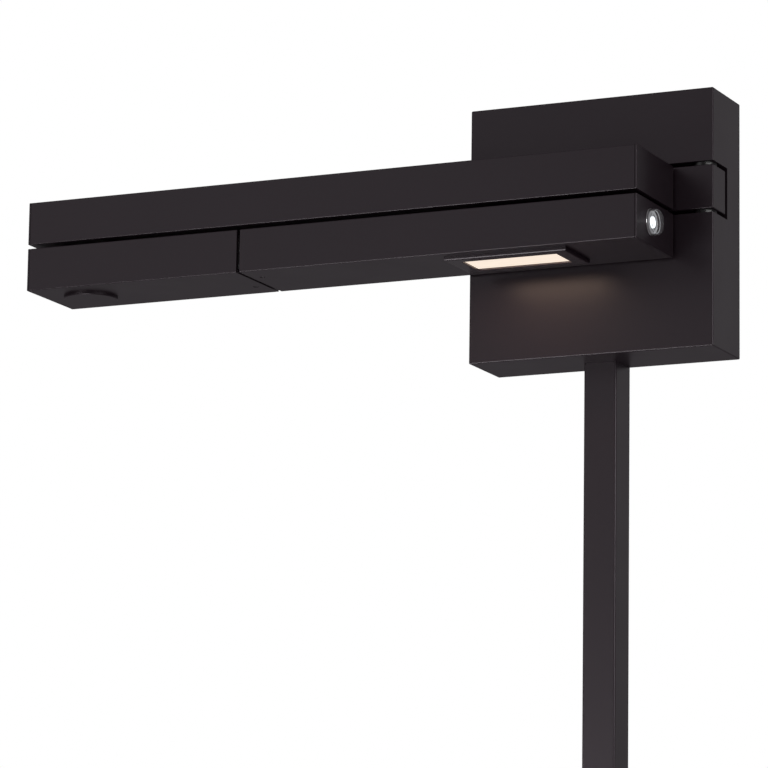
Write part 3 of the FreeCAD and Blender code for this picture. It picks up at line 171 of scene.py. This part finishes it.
def clear_plastic():
    """Thin clear acrylic: nearly invisible face on, and whiter along its edges, where the white is a
    painted sheen that stands in for its reflection at a slant.
    """
    paint = Paint("clear_cap")
    marks = paint.noise(300.0, 2.0)
    paint.colour(marks, 0.66, 0.74)
    paint.rough(marks, 0.08, 0.12)
    facing = paint.node("ShaderNodeLayerWeight")
    facing.inputs["Blend"].default_value = 0.5
    # painted sheen: the cap turns opaque white towards its edges, in place of its reflection
    painted_edge_sheen = paint.ramp(facing.outputs["Facing"], 0.04, 0.62, 0.55, 0.98)
    paint.link(painted_edge_sheen, paint.shader.inputs["Alpha"])
    paint.bump((marks, 1e-6))
    return paint.material


# the record's material slots, and a few finishes of single pieces
MATERIALS = {
    "bronze_paint": powder_coat("bronze_paint", 0.34, 0.37),
    "bezel_paint": powder_coat("bezel_paint", 0.24, 0.27),
    "collar_nickel": metal("collar_nickel", 0.050, 0.065, 0.30, 900.0),
    "zinc_steel": metal("zinc_steel", 0.42, 0.58, 0.34, 500.0, (1, 1, 6)),
    "black_steel": metal("black_steel", 0.018, 0.035, 0.42, 900.0),
    "brass": metal("brass", (0.60, 0.40, 0.14), (0.74, 0.52, 0.22), 0.24, 900.0, (1, 1, 8)),
    "polished_chrome": metal("polished_chrome", 0.62, 0.72, 0.09, 700.0, (1, 1, 1), 5e-7),
    "driver_plastic": plastic("driver_plastic", 0.62, 0.68, 0.55),
    "terminal_plastic": plastic("terminal_plastic", (0.72, 0.70, 0.62), (0.80, 0.78, 0.70), 0.42),
    "switch_plastic": plastic("switch_plastic", 0.012, 0.02, 0.4),
    "slip_plastic": plastic("slip_plastic", 0.06, 0.08, 0.35),
    "cover_base_plastic": plastic(
        "cover_base_plastic", (0.020, 0.017, 0.018), (0.026, 0.022, 0.024), 0.55
    ),
    "grommet_rubber": plastic("grommet_rubber", 0.008, 0.014, 0.75, 1800.0, 8e-6),
    "lead_insulation": plastic("lead_insulation", 0.010, 0.016, 0.38, 1500.0, 2e-6),
    "diffuser_plastic": lit("diffuser_plastic", (1.0, 0.850, 0.705), 0.94, 0.34, 0.40, 160.0),
    "board_white": plastic("board_white", 0.78, 0.84, 0.4),
    "led_phosphor": plastic("led_phosphor", (0.75, 0.52, 0.08), (0.85, 0.62, 0.12), 0.3),
    "sink_aluminium": metal("sink_aluminium", 0.55, 0.66, 0.36, 700.0, (8, 1, 1)),
    "reflector_white": plastic("reflector_white", 0.60, 0.68, 0.35, 900.0, 1e-6),
    "clear_cap": clear_plastic(),
    # painted light: the button's step ring and rim glow faintly, standing in for light caught from its
    # core
    "cap_step_painted_glow": lit("cap_step_painted_glow", (0.90, 0.95, 1.0), 0.30, 0.5, 0.6, 400.0),
    "cap_rim_painted_glow": lit("cap_rim_painted_glow", (0.93, 0.96, 1.0), 0.12, 0.60, 0.68, 400.0),
    "guide_plastic": lit("guide_plastic", (0.90, 0.97, 1.0), 1.5, 0.85, 0.90, 400.0),
}


# nodes that are finished a little differently from the rest of their slot
FINISHES = {"light_bezel": "bezel_paint", "pivot_collars": "collar_nickel"}


def dress_nodes():
    """Gives each CAD node its slot's material, or its own finish of it."""
    for entry in frame["record"]["subparts"]:
        name = entry["node"]
        node = NODES[name]
        node.data.materials.clear()
        node.data.materials.append(MATERIALS[FINISHES.get(name, entry["material_slot"])])


# ---------------------------------------------------------------- pieces added to the frame


def lathe(name, profile, centre, body, slot_name, finish=None):
    """A piece turned about X: its profile is (radius, distance along X) in millimetres from a centre.

    Its finish is a material, and the slot's own material where none is given.
    """
    steps = 96
    mesh = bmesh.new()
    rings = []
    for turn in range(steps):
        angle = 2 * math.pi * turn / steps
        side = Vector((0, math.cos(angle), math.sin(angle)))
        ring = []
        for radius, along in profile:
            point = side * radius + Vector((along, 0, 0))
            ring.append(mesh.verts.new(centre + point * MM))
        rings.append(ring)
    for turn in range(steps):
        near, far = rings[turn], rings[(turn + 1) % steps]
        for k in range(len(profile) - 1):
            mesh.faces.new((near[k], far[k], far[k + 1], near[k + 1]))
    bmesh.ops.remove_doubles(mesh, verts=mesh.verts, dist=1e-7)
    bmesh.ops.recalc_face_normals(mesh, faces=mesh.faces)
    data = bpy.data.meshes.new(name)
    mesh.to_mesh(data)
    mesh.free()
    data.polygons.foreach_set("use_smooth", [True] * len(data.polygons))
    piece = bpy.data.objects.new(name, data)
    bpy.context.scene.collection.objects.link(piece)
    data.materials.append(MATERIALS[finish or slot_name])
    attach(piece, body)


def arc(middle, radius, start, end, steps):
    """Points of a profile's arc about a middle point, with its angles in degrees from outwards."""
    points = []
    for k in range(steps + 1):
        angle = math.radians(start + (end - start) * k / steps)
        points.append((middle[0] + radius * math.cos(angle), middle[1] + radius * math.sin(angle)))
    return points


def dress_button():
    """The moulded rings round the button's glowing core, and the core itself, behind the clear cap. The
    rim and the thin step ring glow faintly with painted light from the core.

    The profiles give radii, and distances out from the core's end, in millimetres.
    """
    low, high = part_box("button_light_guide")
    axis = (low + high) / 2
    core = Vector((high.x, axis.y, axis.z))
    rim_back = -0.2
    rim_front = 0.15
    rim = [(4.55, rim_back)]
    rim += arc((4.75, rim_front), 0.2, 180, 90, 4)
    rim += arc((5.05, rim_front), 0.25, 90, 0, 4)
    rim += [(5.3, rim_back)]
    # the rim glows faintly with painted light from the core
    lathe("button_rim", rim, core, "button", "reflector_white", "cap_rim_painted_glow")
    dome = [(2.65, 0.0)]
    dome += arc((2.25, 0.05), 0.4, 0, 70, 5)
    dome += [(0.0, 0.48)]
    lathe("button_core", dome, core, "button", "guide_plastic")
    # a thin step ring on the cap that glows with painted light from the core
    step = arc((5.05, 1.5), 0.14, 0, 360, 12)
    lathe("button_step", step, core, "button", "guide_plastic", "cap_step_painted_glow")


# ---------------------------------------------------------------- light, floor and camera


def aim(obj, place, target):
    """Puts a light at a place and points it at a target."""
    obj.location = place
    way = Vector(target) - Vector(place)
    obj.rotation_euler = way.to_track_quat("-Z", "Y").to_euler()


def area_light(name, size, watts, place, target, colour=(1, 1, 1)):
    """A rectangular light that the camera doesn't see."""
    data = bpy.data.lights.new(name, "AREA")
    data.shape = "RECTANGLE"
    data.size, data.size_y = size
    data.energy = watts
    data.color = colour
    light = bpy.data.objects.new(name, data)
    light.visible_camera = False
    bpy.context.scene.collection.objects.link(light)
    aim(light, place, target)
    return light


def make_world():
    """A plain white backdrop to the camera, and a soft grey surround to the object."""
    soft_grey = (0.153, 0.143, 0.152, 1.0)
    pure_white = (1.0, 1.0, 1.0, 1.0)
    world = bpy.data.worlds.new("surround")
    bpy.context.scene.world = world
    world.use_nodes = True
    nodes = world.node_tree.nodes
    links = world.node_tree.links
    soft = nodes["Background"]
    soft.inputs["Color"].default_value = soft_grey
    white = nodes.new("ShaderNodeBackground")
    white.inputs["Color"].default_value = pure_white
    seen = nodes.new("ShaderNodeLightPath")
    mix = nodes.new("ShaderNodeMixShader")
    links.new(seen.outputs["Is Camera Ray"], mix.inputs[0])
    links.new(soft.outputs[0], mix.inputs[1])
    links.new(white.outputs[0], mix.inputs[2])
    links.new(mix.outputs[0], nodes["World Output"].inputs["Surface"])


def make_floor():
    """A pale floor, so far down that it hides nothing from a camera below the lamp.

    It glows softly, and doesn't light the lamp.
    """
    radius = 25.0
    level = -4.5
    bpy.ops.mesh.primitive_circle_add(
        vertices=96, radius=radius, fill_type="NGON", location=(0, 0, level)
    )
    floor = bpy.context.object
    floor.name = "floor"
    paint = Paint("floor_paint")
    patches = paint.noise(2.0, 3.0)
    paint.colour(patches, 0.78, 0.82)
    paint.rough(paint.noise(5.0, 2.0), 0.75, 0.85)
    paint.link(paint.ramp(patches, 0.97, 1.0), paint.shader.inputs["Emission Color"])
    paint.set(Emission_Strength=0.62)
    floor.data.materials.append(paint.material)
    floor.visible_diffuse = False
    floor.visible_glossy = False


# each studio light's width and height, its watts, its place and the point it faces
STUDIO_LIGHTS = {
    "key_light": ((1.6, 1.6), 3.8, (-1.3, -2.2, 0.6), (0, 0, 0)),
    "low_strip": ((0.25, 0.9), 4.4, (-0.37, -0.64, -0.58), (-0.05, -0.06, 0)),
    "right_strip": ((1.3, 0.5), 7.5, (1.2, -0.70, 0.12), (0, -0.05, 0)),
    "rear_light": ((1.0, 1.2), 0.60, (0.62, 1.9, 0.4), (0, 0, 0)),
}
# these draw the bright lines along the edges, and light only the gloss of the paint
GLOSS_LIGHTS = ("low_strip", "right_strip")


def make_lights():
    """Soft studio lights, which the camera doesn't see, and the lamp's own light."""
    for name, (size, watts, place, target) in STUDIO_LIGHTS.items():
        light = area_light(name, size, watts, place, target)
        light.visible_diffuse = name not in GLOSS_LIGHTS
    make_lamp_light()


def make_lamp_light():
    """The lamp's own warm light, just below its window. It moves with the head."""
    watts = 0.0080
    margin = 1.5 * MM
    below = 0.1 * MM
    low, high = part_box("diffuser")
    centre = (low + high) / 2
    place = (centre.x, centre.y, low.z - below)
    size = (high.x - low.x - 2 * margin, high.y - low.y - 2 * margin)
    target = (place[0], place[1], place[2] - 1)
    glow = area_light("lamp_light", size, watts, place, target, (1.0, 0.72, 0.45))
    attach(glow, "head")


def make_camera():
    """The photograph's viewpoint: from the right, a little below, looking up."""
    place = (0.7700, -1.8977, -0.4729)
    yaw = math.radians(25.095)
    pitch = math.radians(11.177)
    roll = math.radians(0.8435)
    ahead = Vector((-math.sin(yaw) * math.cos(pitch), math.cos(yaw) * math.cos(pitch), math.sin(pitch)))
    level = Vector((math.cos(yaw), math.sin(yaw), 0.0))
    above = level.cross(ahead)
    right = level * math.cos(roll) + above * math.sin(roll)
    up = above * math.cos(roll) - level * math.sin(roll)
    data = bpy.data.cameras.new("camera")
    # a full-frame sensor and a long lens, both in millimetres
    data.sensor_width = 36.0
    data.lens = 212.1
    data.clip_start = 0.05
    data.clip_end = 50.0
    camera = bpy.data.objects.new("camera", data)
    bpy.context.scene.collection.objects.link(camera)
    turn = Matrix((right, up, -ahead)).transposed().to_4x4()
    camera.matrix_world = Matrix.Translation(place) @ turn
    bpy.context.scene.camera = camera


# ---------------------------------------------------------------- all of it


dress_nodes()
dress_button()
make_world()
make_floor()
make_lights()
make_camera()
bpy.context.scene.view_settings.view_transform = "Standard"
